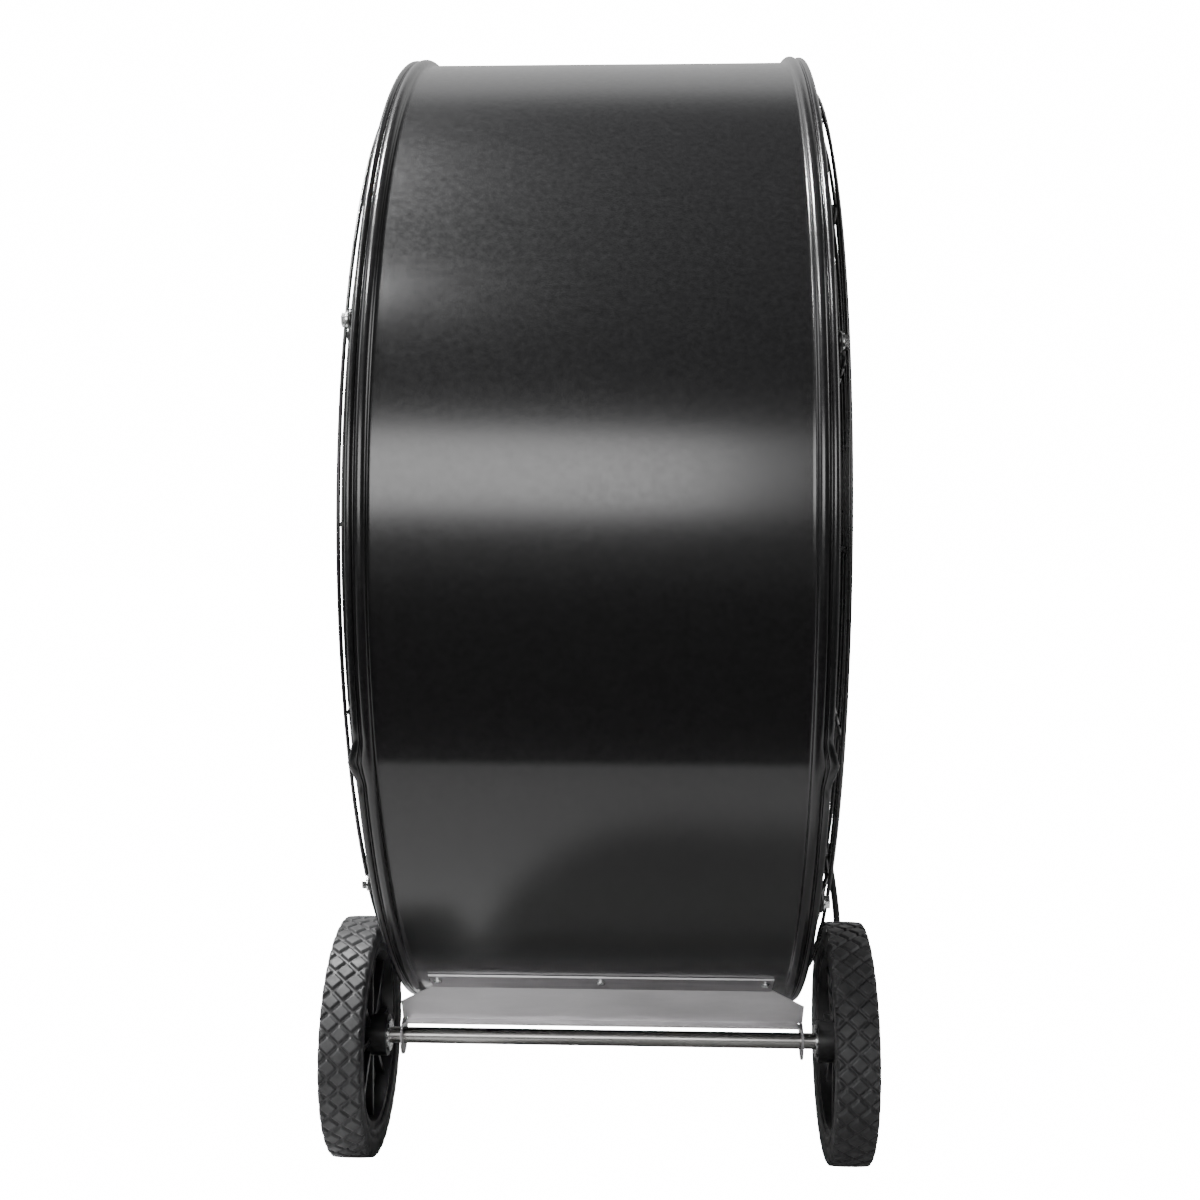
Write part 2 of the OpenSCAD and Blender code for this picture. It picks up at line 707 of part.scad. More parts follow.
// A channel that stands upright across the drum and carries the fan shaft
module strut() {
    x0 = strut_x - strut_w / 2;
    color([0.06, 0.06, 0.06]) at_axis() difference() {
        translate([x0, -strut_d / 2, -strut_end]) cube([strut_w, strut_d, 2 * strut_end]);
        translate([x0 + strut_t, -strut_d / 2 - 1, -strut_end + strut_t])
            cube([strut_w - 2 * strut_t, strut_d - strut_t + 1, 2 * (strut_end - strut_t)]);
        bar_x(x0 - 1, x0 + strut_w + 1, shaft_d / 2 + 3);
        translate([strut_x, 0, -strut_end - 1]) cylinder(h = 2 * strut_end + 2, r = m8 / 2 + hole_gap);
        for (z = [-1, 1])
            translate([0, 0, z * bearing_r]) bar_x(x0 - 1, x0 + strut_w + 1, m8 / 2 + hole_gap);
        for (x = [-1, 1]) translate([strut_x + x * base_bolt_x, 0, motor_base_z - base_bolt_drop])
            rotate([-90, 0, 0])
                cylinder(h = 60, r = m8 / 2 + hole_gap);
    }
}

// Short spacers between the strut's ends and the drum wall
module strut_spacers() {
    color([0.6, 0.6, 0.6]) for (a = [90, 270]) at_angle(strut_end + seat_gap, a) translate([strut_x, 0, 0])
        difference() {
            cylinder(h = spacer_l, r = spacer_r);
            translate([0, 0, -1]) cylinder(h = 20, r = m8 / 2 + hole_gap);
        }
}

module strut_bolts() {
    color([0.75, 0.75, 0.74]) for (a = [90, 270]) at_angle(strut_end - strut_t - seat_gap, a)
        translate([strut_x, 0, 0]) {
            translate([0, 0, -5.3]) hex(m8_hex, 5.3);
            translate([0, 0, -0.5]) cylinder(h = drum_r - strut_end + strut_t + 12, r = m8 / 2);
        }
}

// Nuts and washers on the outside of the drum
module strut_nuts() {
    color([0.75, 0.75, 0.74]) for (a = [90, 270]) at_angle(drum_r + seat_gap, a) translate([strut_x, 0, 0])
        difference() {
            union() {
                cylinder(h = 1.6, r = m8_flange);
                translate([0, 0, 1.6]) hex(m8_hex, 6.4);
            }
            translate([0, 0, -1]) cylinder(h = 12, r = m8 / 2 + run_gap);
        }
}

// Flange bearings, one on each side of the strut
module bearing_blocks() {
    color([0.1, 0.1, 0.1]) at_axis() for (s = [-1, 1]) translate([strut_x, 0, 0]) side(s) {
        x = strut_w / 2 + seat_gap;
        difference() {
            union() {
                bar_x(x, x + bearing_t, bearing_boss_r);
                translate([x, -14, -bearing_r]) cube([8, 28, 2 * bearing_r]);
                for (z = [-1, 1]) translate([0, 0, z * bearing_r]) bar_x(x, x + 8, 14);
            }
            bar_x(x - 1, x + bearing_t + 1, shaft_d / 2 + run_gap);
            for (z = [-1, 1]) translate([0, 0, z * bearing_r]) bar_x(x - 1, x + 9, 4 + hole_gap);
        }
    }
}

module bearing_bolts() {
    x0 = strut_w / 2 - strut_t - 8;
    x1 = strut_w / 2 + 8 + 2 * seat_gap;
    color([0.75, 0.75, 0.74]) at_axis() for (s = [-1, 1], z = [-1, 1])
        translate([strut_x, 0, z * bearing_r]) side(s) {
            bar_x(x0, x1 + 0.5, 4);
            translate([x1, 0, 0]) rotate([0, 90, 0]) hex(m8_hex, 5);
        }
}

// ---- fan rotor ----

module fan_shaft() {
    color([0.55, 0.55, 0.54]) at_axis() bar_x(shaft_in, shaft_out, shaft_d / 2);
}

// Hub boss with a spider of flat arms, one for each blade
module fan_hub() {
    color([0.2, 0.2, 0.2]) at_axis() difference() {
        union() {
            bar_x(hub_x - hub_l / 2, hub_x + hub_l / 2, hub_r_boss);
            bar_x(hub_x - 4, hub_x + 4, hub_plate_r);
            for (i = [0 : blades - 1]) rotate([i * 360 / blades, 0, 0]) intersection() {
                translate([hub_x, 0, 0]) rotate([0, 0, blade_pitch])
                    translate([blade_t / 2 + arm_gap, -24, 30]) cube([5, 48, 190]);
                bar_x(hub_x - 60, hub_x + 60, arm_r);
            }
        }
        bar_x(hub_x - hub_l, hub_x + hub_l, shaft_d / 2 + run_gap);
    }
}

// One cambered blade, standing along +Z, cut to the planform and to the swept circle
module blade() {
    half = blade_chord / 2;
    intersection() {
        rotate([0, 0, blade_pitch]) intersection() {
            translate([camber_r - blade_t / 2, 0, 0]) difference() {
                cylinder(h = blade_r + 40, r = camber_r);
                translate([0, 0, -1]) cylinder(h = blade_r + 42, r = camber_r - blade_t);
            }
            rotate([90, 0, 90]) translate([0, 0, -40]) linear_extrude(80) polygon([
                [-0.25 * half, 105], [-0.72 * half, 200], [-0.95 * half, 330], [-half, blade_r + 20],
                [half, blade_r + 20], [0.92 * half, 330], [0.62 * half, 200], [0.25 * half, 105]]);
        }
        bar_x(-200, 200, blade_r);
    }
}

module fan_blades() {
    color([0.55, 0.56, 0.57]) at_axis() translate([hub_x, 0, 0]) for (i = [0 : blades - 1])
        rotate([i * 360 / blades, 0, 0]) difference() {
            blade();
            rotate([0, 0, blade_pitch]) for (p = rivet_places())
                translate([-10, p[0], p[1]]) rotate([0, 90, 0]) cylinder(h = 20, r = rivet_r + 0.2);
        }
}

function rivet_places() = [[-14, 135], [14, 135], [-14, 195], [14, 195]];

module blade_rivets() {
    color([0.6, 0.6, 0.6]) at_axis() translate([hub_x, 0, 0]) for (i = [0 : blades - 1])
        rotate([i * 360 / blades, 0, 0]) rotate([0, 0, blade_pitch]) for (p = rivet_places())
            translate([0, p[0], p[1]]) rotate([0, -90, 0]) {
                translate([0, 0, blade_t / 2 + 0.3]) cylinder(h = 2, r1 = 5.5, r2 = 4);
                translate([0, 0, -blade_t / 2 - 0.05]) cylinder(h = blade_t + 0.5, r = rivet_r);
            }
}

// A pulley with one V groove, turned about X and centred on the belt
module pulley(r, hub, bore) {
    w = pulley_w / 2;
    g = r - belt_in;
    difference() {
        translate([belt_x, 0, 0]) turned([[-w, bore], [-w, r], [-w + 1.5, r], [-belt_w / 2 + 0.6, g],
            [belt_w / 2 - 0.6, g], [w - 1.5, r], [w, r], [w, bore]]);
        translate([belt_x, 0, 0]) turned([[-w - 1, hub], [-w - 1, g - 12], [-3, g - 14], [-3, hub]]);
        translate([belt_x, 0, 0]) turned([[w + 1, hub], [3, hub], [3, g - 14], [w + 1, g - 12]]);
    }
}

module fan_pulley() {
    color([0.3, 0.3, 0.3]) at_axis() difference() {
        pulley(pulley_r, 32, shaft_d / 2 + run_gap);
        for (i = [0 : 4]) rotate([i * 72, 0, 0]) translate([belt_x, 0, 80]) bar_x(-20, 20, 24);
    }
}

// ---- motor ----

module at_motor() {
    at_axis() translate([0, motor_y, motor_z]) children();
}

// A shelf bolted to the strut, with two saddles for the motor
module motor_base() {
    x0 = strut_x - base_l / 2;
    y0 = strut_d / 2 + seat_gap;
    color([0.08, 0.08, 0.08]) at_axis() difference() {
        union() {
            translate([x0, y0, motor_base_z - motor_base_t])
                cube([base_l, motor_y + 75 - y0, motor_base_t]);
            translate([x0, y0, motor_base_z - 40]) cube([base_l, motor_base_t, 40]);
            for (x = [x0 + 4, x0 + base_l - 14])
                translate([x, motor_y - 60, motor_base_z - 1]) cube([10, 120, saddle_h]);
        }
        translate([0, motor_y, motor_z]) bar_x(x0 - 1, x0 + base_l + 1, motor_r + seat_gap);
        for (x = [-1, 1]) translate([strut_x + x * base_bolt_x, 0, motor_base_z - base_bolt_drop])
            rotate([-90, 0, 0])
                cylinder(h = 60, r = m8 / 2 + hole_gap);
    }
}

module base_bolts() {
    color([0.75, 0.75, 0.74]) at_axis() for (x = [-1, 1])
        translate([strut_x + x * base_bolt_x, 0, motor_base_z - base_bolt_drop]) rotate([-90, 0, 0]) {
            translate([0, 0, strut_d / 2 + motor_base_t + 2 * seat_gap]) hex(m8_hex, 5.3);
            translate([0, 0, strut_d / 2 - strut_t - 9]) cylinder(h = 17, r = m8 / 2);
        }
}

module motor_shell() {
    color([0.08, 0.08, 0.09]) at_motor() {
        bar_x(motor_x0 + 14, motor_x1 - 14, motor_r);
    }
}

// End bells with vent slots and a boss for the shaft
module motor_ends() {
    color([0.12, 0.12, 0.12]) at_motor() difference() {
        union() {
            translate([0, 0, -gland_drop]) bar_x(motor_x1 - bell_l, gland_x, 10);
            turned([[motor_x0, 0], [motor_x0, 40], [motor_x0 + 4, motor_r - 16],
                [motor_x0 + bell_l, motor_r - 1], [motor_x0 + bell_l, 0]]);
            turned([[motor_x1 - bell_l, 0], [motor_x1 - bell_l, motor_r - 1],
                [motor_x1 - 4, motor_r - 16], [motor_x1, 40], [motor_x1, 0]]);
        }
        bar_x(motor_x1 - 16, motor_x1 + 2, motor_shaft_r + run_gap);
        for (i = [0 : vents - 1], x = [motor_x0 - 4, motor_x1 - 8])
            rotate([(i + 0.5) * 360 / vents, 0, 0]) translate([x, -3.5, 50]) cube([12, 7, 16]);
    }
}

// Connection box on top of the motor
module motor_box() {
    color([0.08, 0.08, 0.08]) at_motor() difference() {
        translate([20, -32, motor_r - 12]) cube([72, 64, 46]);
        bar_x(0, 100, motor_r + seat_gap);
    }
}

module motor_shaft() {
    color([0.6, 0.6, 0.6]) at_motor() bar_x(motor_x1 - 13, belt_x + pulley_w / 2 + 6, motor_shaft_r);
}

module motor_pulley() {
    color([0.3, 0.3, 0.3]) at_motor() pulley_small();
}

module pulley_small() {
    w = pulley_w / 2;
    g = motor_pulley_r - belt_in;
    bore = motor_shaft_r + run_gap;
    translate([belt_x, 0, 0]) turned([[-w, bore], [-w, motor_pulley_r], [-w + 1.5, motor_pulley_r],
        [-belt_w / 2 + 0.6, g], [belt_w / 2 - 0.6, g], [w - 1.5, motor_pulley_r],
        [w, motor_pulley_r], [w, bore]]);
}

// Outline round two circles that lie at c1 and c2: the circles and the band between their tangents
module belt_outline(c1, r1, c2, r2) {
    d = c2 - c1;
    l = norm(d);
    a = atan2(d[1], d[0]);
    b = acos((r1 - r2) / l);
    translate(c1) circle(r = r1);
    translate(c2) circle(r = r2);
    polygon([
        c1 + r1 * [cos(a + b), sin(a + b)], c1 + r1 * [cos(a - b), sin(a - b)],
        c2 + r2 * [cos(a - b), sin(a - b)], c2 + r2 * [cos(a + b), sin(a + b)]]);
}

module drive_belt() {
    r1 = pulley_r - belt_in + free_gap;
    r2 = motor_pulley_r - belt_in + free_gap;
    w = belt_w - 2 * free_gap - 1.4;
    color([0.05, 0.05, 0.05]) at_axis() translate([belt_x - w / 2, 0, 0]) along_x() linear_extrude(w)
        difference() {
            belt_outline([0, 0], r1 + belt_h, [motor_y, motor_z], r2 + belt_h);
            belt_outline([0, 0], r1, [motor_y, motor_z], r2);
        }
}

// ---- switch ----

module at_switch() {
    at_angle(drum_r, switch_angle) translate([switch_x, 0, 0]) children();
}

module lead_grommet() {
    color([0.05, 0.05, 0.05]) at_switch() difference() {
        union() {
            translate([0, 0, -sheet_t - 3]) cylinder(h = sheet_t + 4.5, r = grommet_r);
            translate([0, 0, -sheet_t - 3]) cylinder(h = 2.4, r = grommet_r + 3);
        }
        translate([0, 0, -10]) cylinder(h = 20, r = lead_d / 2 + 0.2);
    }
}

module switch_box_body() {
    b = switch_box;
    color([0.07, 0.07, 0.07]) at_switch() difference() {
        union() {
            translate([-b[0] / 2, -b[2] / 2, box_lift]) cube([b[0], b[2], b[1]]);
            translate([0, 0, box_lift + b[1]]) cylinder(h = 3, r = knob_r + 4);
        }
        translate([0, 0, -1]) cylinder(h = 5, r = 10);
        translate([0, 0, box_lift + b[1] - 8]) cylinder(h = 20, r = 4 + run_gap);
    }
}

module switch_screws() {
    b = switch_box;
    color([0.75, 0.75, 0.74]) at_switch() for (x = [-1, 1], y = [-1, 1])
        translate([x * (b[0] / 2 - 8), y * (b[2] / 2 - 8), box_lift + b[1] + seat_gap]) difference() {
            cylinder(h = 2.2, r1 = 4.2, r2 = 3);
            translate([-3, -0.5, 1.2]) cube([6, 1, 2]);
        }
}

module switch_knob() {
    b = switch_box;
    color([0.03, 0.03, 0.03]) at_switch() translate([0, 0, box_lift + b[1] + 3.4]) difference() {
        union() {
            cylinder(h = 5, r1 = knob_r, r2 = knob_r - 1);
            translate([0, 0, 5]) cylinder(h = knob_l - 5, r = 8);
            translate([-4, -knob_r + 2, 4]) cube([8, 2 * knob_r - 4, knob_l - 4]);
            translate([0, 0, -8]) cylinder(h = 8.5, r = 4);
        }
        translate([-0.8, 6, knob_l - 1]) cube([1.6, knob_r - 9, 2]);
    }
}

// ---- leads and cord ----

function unit(v) = v / norm(v);

// Tangent of a polyline at point i
function tangent(p, i) = unit(p[min(i + 1, len(p) - 1)] - p[max(i - 1, 0)]);

// Points of a smooth curve through the route's points, n steps for each span
function spline(p, n) = [
    for (i = [0 : len(p) - 2], k = [0 : n - 1])
        let (t = k / n, a = p[max(i - 1, 0)], b = p[i], c = p[i + 1], d = p[min(i + 2, len(p) - 1)])
            0.5 * (2 * b + (c - a) * t + (2 * a - 5 * b + 4 * c - d) * t * t
                + (3 * b - a - 3 * c + d) * t * t * t),
    p[len(p) - 1]
];

// The side direction carried along the route so that the rings never twist
function sides(p, i, s) = i == len(p) ? [] : let (t = tangent(p, i), u = unit(s - (s * t) * t))
    concat([u], sides(p, i + 1, u));

// A tube swept along the points p
module sweep(p, d, n) {
    u = sides(p, 0, [0, 1, 0.3]);
    pts = [for (i = [0 : len(p) - 1]) let (t = tangent(p, i), v = cross(t, u[i]))
        for (k = [0 : n - 1]) p[i] + d / 2 * (cos(k * 360 / n) * u[i] + sin(k * 360 / n) * v)];
    last = len(p) - 1;
    polyhedron(pts, concat(
        [[for (k = [0 : n - 1]) k]],
        [for (i = [0 : last - 1], k = [0 : n - 1])
            [i * n + k, (i + 1) * n + k, (i + 1) * n + (k + 1) % n, i * n + (k + 1) % n]],
        [[for (k = [n - 1 : -1 : 0]) last * n + k]]), convexity = 6);
}

function shifted(p) = [for (q = p) [q[0], q[1] + drum_y, q[2]]];

// Lead from the motor's connection box up to the switch, clipped inside the drum
module motor_lead() {
    color([0.04, 0.04, 0.04]) at_axis() sweep(spline(lead_pts, 2), lead_d, 10);
}

// Tapered strain relief on the motor's end, where the power cord leaves
module cord_gland() {
    x = gland_x + seat_gap;
    color([0.04, 0.04, 0.04]) at_motor() translate([0, 0, -gland_drop]) {
        translate([x, 0, 0]) rotate([0, 90, 0]) hex(8.5, 7);
        translate([x + 6.9, 0, 0]) rotate([0, 90, 0])
            cylinder(h = gland_l - 7 - seat_gap, r1 = 7.5, r2 = cord_d / 2 + 0.7);
    }
}

// The two free stretches of the power cord: to the coil, and from the coil to the plug
module power_cord() {
    color([0.04, 0.04, 0.04]) {
        sweep(spline(shifted(cord_pts), 2), cord_d, 10);
        sweep(spline(shifted(tail_pts), 1), cord_d, 10);
    }
}

// Outer shape of the stored coil
module cord_coil() {
    rows = coil_turns / coil_layers;
    color([0.04, 0.04, 0.04]) translate([coil_x, drum_y + coil_y, 0]) rotate_extrude()
        translate([coil_r - rows * cord_d / 2, 0]) square([rows * cord_d, coil_layers * cord_d]);
}

// Puts children at the end of the tail, with +Z along the cord
module at_plug() {
    e = tail_pts[len(tail_pts) - 1];
    translate([e[0], drum_y + e[1], e[2]]) rotate([90, 0, 0]) children();
}

// Moulded plug: a short taper, then a grip with flat sides
module cord_plug() {
    color([0.05, 0.05, 0.05]) at_plug() {
        cylinder(h = 20, r1 = cord_d / 2 + 0.6, r2 = 7.5);
        intersection() {
            translate([0, 0, 19.9]) cylinder(h = plug_l - 19.9, r1 = 14, r2 = 16);
            translate([-16, -12.5, 0]) cube([32, 25, plug_l]);
        }
    }
}

// Two flat blades and a round earth pin
module plug_pins() {
    color([0.8, 0.7, 0.4]) at_plug() translate([0, 0, plug_l + seat_gap]) {
        for (x = [-1, 1]) translate([x * 6.35 - 0.75, -1, 0]) cube([1.5, 6.4, pin_l]);
        translate([0, -7, 0]) cylinder(h = pin_l + 2, r = 2.4);
    }
}

// ---- one line for each sub-part ----

drum_shell();
guard_tabs();
guard_rings(-1);  // guard_rings_outlet
guard_rings(1);  // guard_rings_intake
guard_spokes(-1);  // guard_spokes_outlet
guard_spokes(1);  // guard_spokes_intake
guard_plates();
guard_bolts_group(-1);  // guard_bolts_outlet
guard_bolts_group(1);  // guard_bolts_intake
guard_nuts();
axle_bracket();
bracket_screws();
bracket_nuts();
axle();
axle_washers();
axle_caps();
tyre(-1);  // tyre_left
wheel(-1);  // wheel_left
tyre(1);  // tyre_right
wheel(1);  // wheel_right
stand_tube();
stand_pads();
stand_bolts();
stand_feet();
handle_tube();
handle_grip();
handle_pads();
handle_bolts();
pad_nuts();
strut();
strut_spacers();
strut_bolts();
strut_nuts();
bearing_blocks();
bearing_bolts();
fan_shaft();
fan_hub();
fan_blades();
blade_rivets();
fan_pulley();
motor_base();
base_bolts();
motor_shell();
motor_ends();
motor_box();
motor_shaft();
motor_pulley();
drive_belt();
motor_lead();
lead_grommet();
switch_box_body();
switch_screws();
switch_knob();
cord_gland();
power_cord();
cord_coil();
cord_plug();
plug_pins();
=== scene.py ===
"""Looks of the portable drum fan, in metres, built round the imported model."""
import json
import math

import bmesh
import bpy
from mathutils import Matrix, Vector, noise


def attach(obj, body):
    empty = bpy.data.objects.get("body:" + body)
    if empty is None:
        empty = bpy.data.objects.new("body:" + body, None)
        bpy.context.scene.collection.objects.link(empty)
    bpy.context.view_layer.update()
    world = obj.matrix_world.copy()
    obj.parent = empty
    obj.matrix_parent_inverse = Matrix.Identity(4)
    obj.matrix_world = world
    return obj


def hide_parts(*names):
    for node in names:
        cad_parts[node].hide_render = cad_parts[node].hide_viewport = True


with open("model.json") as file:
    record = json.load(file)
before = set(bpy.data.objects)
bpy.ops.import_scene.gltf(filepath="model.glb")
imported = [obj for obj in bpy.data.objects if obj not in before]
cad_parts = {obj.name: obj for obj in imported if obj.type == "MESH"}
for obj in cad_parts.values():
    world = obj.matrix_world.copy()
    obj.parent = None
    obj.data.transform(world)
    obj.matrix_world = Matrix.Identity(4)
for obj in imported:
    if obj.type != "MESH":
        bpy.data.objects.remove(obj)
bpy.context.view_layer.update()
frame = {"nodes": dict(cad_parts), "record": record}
nodes = frame["nodes"]

# Sizes and places that repeat the part's own, in millimetres
MM = 0.001
DRUM_Y, DRUM_Z = -55.25, 677.5          # the fan axis
AXLE_Y, AXLE_Z = -295.25, 127.0
DRUM_R, DRUM_INNER_R, DRUM_HALF = 549.5, 548.0, 215.5
WHEEL_R, TYRE_IN, TYRE_HALF = 127.0, 239.7, 22.2
CORD_D = 9.0
SEAM = math.radians(180 + 23)           # angle of the lap seam round the fan axis


# ---------------------------------------------------------------- camera

CAMERA_PLACE = (0.0564, -1.8914, 0.6435)
CAMERA_HEADING = (-0.03745, 0.9993, 0)
CAMERA_DOWN, CAMERA_ROLL = 1.443, 0.192     # degrees
LENS, SENSOR, FAR_CLIP = 44.4, 36.0, 60.0   # millimetres, and metres


def make_camera():
    """A camera in front of the wheels, turned a little left and down."""
    data = bpy.data.cameras.new("camera")
    data.lens = LENS
    data.sensor_width = SENSOR
    data.clip_end = FAR_CLIP
    camera = bpy.data.objects.new("camera", data)
    bpy.context.scene.collection.objects.link(camera)
    pitch = math.radians(CAMERA_DOWN)
    level = Vector(CAMERA_HEADING).normalized() * math.cos(pitch)
    forward = level + Vector((0, 0, -math.sin(pitch)))
    right = forward.cross(Vector((0, 0, 1))).normalized()
    up = right.cross(forward)
    turn = Matrix((right, up, -forward)).transposed().to_4x4()
    roll = Matrix.Rotation(math.radians(CAMERA_ROLL), 4, "Z")
    place = Matrix.Translation(Vector(CAMERA_PLACE))
    camera.matrix_world = place @ turn @ roll
    bpy.context.scene.camera = camera


make_camera()


# ---------------------------------------------------------------- node helpers

def new_material(name):
    """A new material with its node tree and its shader."""
    mat = bpy.data.materials.new(name)
    mat.use_nodes = True
    shader = mat.node_tree.nodes["Principled BSDF"]
    return mat, mat.node_tree, shader


# Detail and roughness of the noise behind each part of a finish
COLOUR_NOISE, GLOSS_NOISE, GRAIN_NOISE = (6.0, 0.6), (5.0, 0.6), (3.0, 0.5)


def noise_node(tree, scale, detail, rough, stretch):
    """Noise on the object's own coordinates, which are metres."""
    coords = tree.nodes.new("ShaderNodeTexCoord")
    mapping = tree.nodes.new("ShaderNodeMapping")
    mapping.inputs["Scale"].default_value = stretch
    tree.links.new(coords.outputs["Object"], mapping.inputs["Vector"])
    tex = tree.nodes.new("ShaderNodeTexNoise")
    tex.inputs["Scale"].default_value = scale
    tex.inputs["Detail"].default_value = detail
    tex.inputs["Roughness"].default_value = rough
    tree.links.new(mapping.outputs["Vector"], tex.inputs["Vector"])
    return tex.outputs["Fac"]


def ranged(tree, value, low, high, start=0.3, end=0.7):
    """A value between start and end, stretched to low and high."""
    node = tree.nodes.new("ShaderNodeMapRange")
    node.inputs["From Min"].default_value = start
    node.inputs["From Max"].default_value = end
    node.inputs["To Min"].default_value = low
    node.inputs["To Max"].default_value = high
    tree.links.new(value, node.inputs["Value"])
    return node.outputs["Result"]


def mixed(tree, factor, first, second):
    """A colour between two, by a factor."""
    node = tree.nodes.new("ShaderNodeMix")
    node.data_type = "RGBA"
    tree.links.new(factor, node.inputs["Factor"])
    node.inputs["A"].default_value = (*first, 1)
    node.inputs["B"].default_value = (*second, 1)
    return node.outputs["Result"]


def bumped(tree, shader, heights):
    """Stacks bump nodes: (height output, distance in metres, strength)."""
    normal = None
    for height, distance, strength in heights:
        node = tree.nodes.new("ShaderNodeBump")
        node.inputs["Distance"].default_value = distance
        node.inputs["Strength"].default_value = strength
        tree.links.new(height, node.inputs["Height"])
        if normal is not None:
            tree.links.new(normal, node.inputs["Normal"])
        normal = node.outputs["Normal"]
    tree.links.new(normal, shader.inputs["Normal"])


def surface(name, dark, light, rough, metallic=0.0, colour_scale=30.0, rough_scale=45.0,
            bumps=((900.0, 0.00004, 0.5),), stretch=(1, 1, 1)):
    """A procedural finish: mottled colour, uneven gloss and grains of bump.

    dark and light are the ends of the colour, rough the ends of the roughness, and each
    bump is a noise scale, a depth in metres and a strength.
    """
    mat, tree, shader = new_material(name)
    colour = ranged(tree, noise_node(tree, colour_scale, *COLOUR_NOISE, stretch), 0, 1)
    tree.links.new(mixed(tree, colour, dark, light), shader.inputs["Base Color"])
    gloss = noise_node(tree, rough_scale, *GLOSS_NOISE, stretch)
    tree.links.new(ranged(tree, gloss, *rough), shader.inputs["Roughness"])
    heights = [(noise_node(tree, scale, *GRAIN_NOISE, stretch), depth, strength)
               for scale, depth, strength in bumps]
    bumped(tree, shader, heights)
    shader.inputs["Metallic"].default_value = metallic
    return mat


POWDER = ((1300.0, 0.00003, 0.35), (420.0, 0.00005, 0.22))
MATERIALS = {
    "drum_paint": surface("powder_coat", (0.006, 0.006, 0.0063), (0.012, 0.012, 0.0125),
                          (0.20, 0.25), colour_scale=220.0, rough_scale=160.0, bumps=POWDER),
    "guard_wire": surface("wire_coat", (0.006, 0.006, 0.006), (0.014, 0.014, 0.014),
                          (0.22, 0.36), colour_scale=90.0, bumps=((1100.0, 0.00003, 0.4),)),
    "zinc_bolts": surface("zinc_plate", (0.58, 0.59, 0.60), (0.80, 0.80, 0.79),
                          (0.16, 0.34), 1.0, 160.0, 220.0, ((700.0, 0.00003, 0.4),)),
    "bare_sheet": surface("bare_rolled_sheet", (0.40, 0.39, 0.40), (0.50, 0.49, 0.50),
                          (0.30, 0.46), 1.0, 18.0, 26.0,
                          ((420.0, 0.00003, 0.25), (9.0, 0.0008, 0.12)), (0.5, 3.0, 3.0)),
    "axle_steel": surface("drawn_bar", (0.20, 0.195, 0.19), (0.42, 0.41, 0.40),
                          (0.20, 0.40), 1.0, 34.0, 60.0, ((600.0, 0.00003, 0.4),), (0.12, 3.0, 3.0)),
    "tyre_rubber": surface("tread_rubber", (0.014, 0.014, 0.0145), (0.027, 0.027, 0.028),
                           (0.46, 0.66), colour_scale=70.0, rough_scale=120.0,
                           bumps=((1500.0, 0.00006, 0.5), (160.0, 0.0002, 0.3))),
    "wheel_plastic": surface("moulded_plastic", (0.007, 0.007, 0.0073), (0.015, 0.015, 0.0155),
                             (0.30, 0.48), colour_scale=60.0, bumps=((1800.0, 0.00004, 0.5),)),
    "soft_rubber": surface("soft_rubber", (0.012, 0.012, 0.012), (0.024, 0.024, 0.024),
                           (0.55, 0.8), colour_scale=80.0, bumps=((1400.0, 0.00006, 0.6),)),
    "cast_housing": surface("painted_casting", (0.020, 0.021, 0.022), (0.045, 0.046, 0.048),
                            (0.38, 0.60), colour_scale=55.0,
                            bumps=((380.0, 0.00015, 0.6), (90.0, 0.0002, 0.3))),
    "blade_metal": surface("mill_aluminium", (0.50, 0.51, 0.52), (0.64, 0.65, 0.66),
                           (0.26, 0.44), 1.0, 22.0, 40.0, ((500.0, 0.00003, 0.35),), (3.0, 3.0, 0.4)),
    "motor_paint": surface("motor_enamel", (0.010, 0.010, 0.011), (0.020, 0.020, 0.021),
                           (0.26, 0.42), colour_scale=50.0,
                           bumps=((600.0, 0.00006, 0.4), (40.0, 0.0003, 0.2))),
    "cord_jacket": surface("cord_jacket", (0.010, 0.010, 0.010), (0.020, 0.020, 0.020),
                           (0.40, 0.58), colour_scale=110.0, bumps=((900.0, 0.00005, 0.5),)),
    "plug_brass": surface("plated_brass", (0.66, 0.50, 0.22), (0.82, 0.66, 0.34),
                          (0.18, 0.34), 1.0, 200.0, 260.0, ((900.0, 0.00002, 0.4),)),
}


def dress(obj, slot):
    """Gives an object the finish of one of the record's slots."""
    if obj.material_slots:
        for place in obj.material_slots:
            place.material = MATERIALS[slot]
    else:
        obj.data.materials.append(MATERIALS[slot])


SLOT_OF = {part["node"]: part["material_slot"] for part in frame["record"]["subparts"]}
for node_name, node_obj in nodes.items():
    dress(node_obj, SLOT_OF[node_name])


# ---------------------------------------------------------------- mesh helpers

def mesh_object(name, verts, faces, slot):
    """A smooth-shaded mesh from points in millimetres."""
    mesh = bpy.data.meshes.new(name)
    mesh.from_pydata([[c * MM for c in v] for v in verts], [], faces)
    mesh.validate()
    bm = bmesh.new()
    bm.from_mesh(mesh)
    bmesh.ops.recalc_face_normals(bm, faces=bm.faces)
    bm.to_mesh(mesh)
    bm.free()
    for poly in mesh.polygons:
        poly.use_smooth = True
    obj = bpy.data.objects.new(name, mesh)
    bpy.context.scene.collection.objects.link(obj)
    dress(obj, slot)
    return obj


def finish_piece(obj, body, slot, *replaced):
    """Says which body carries a piece, and the model nodes that it stands for; slot, its finish, is not
    used.
    """
    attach(obj, body)
    if replaced:
        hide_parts(*replaced)


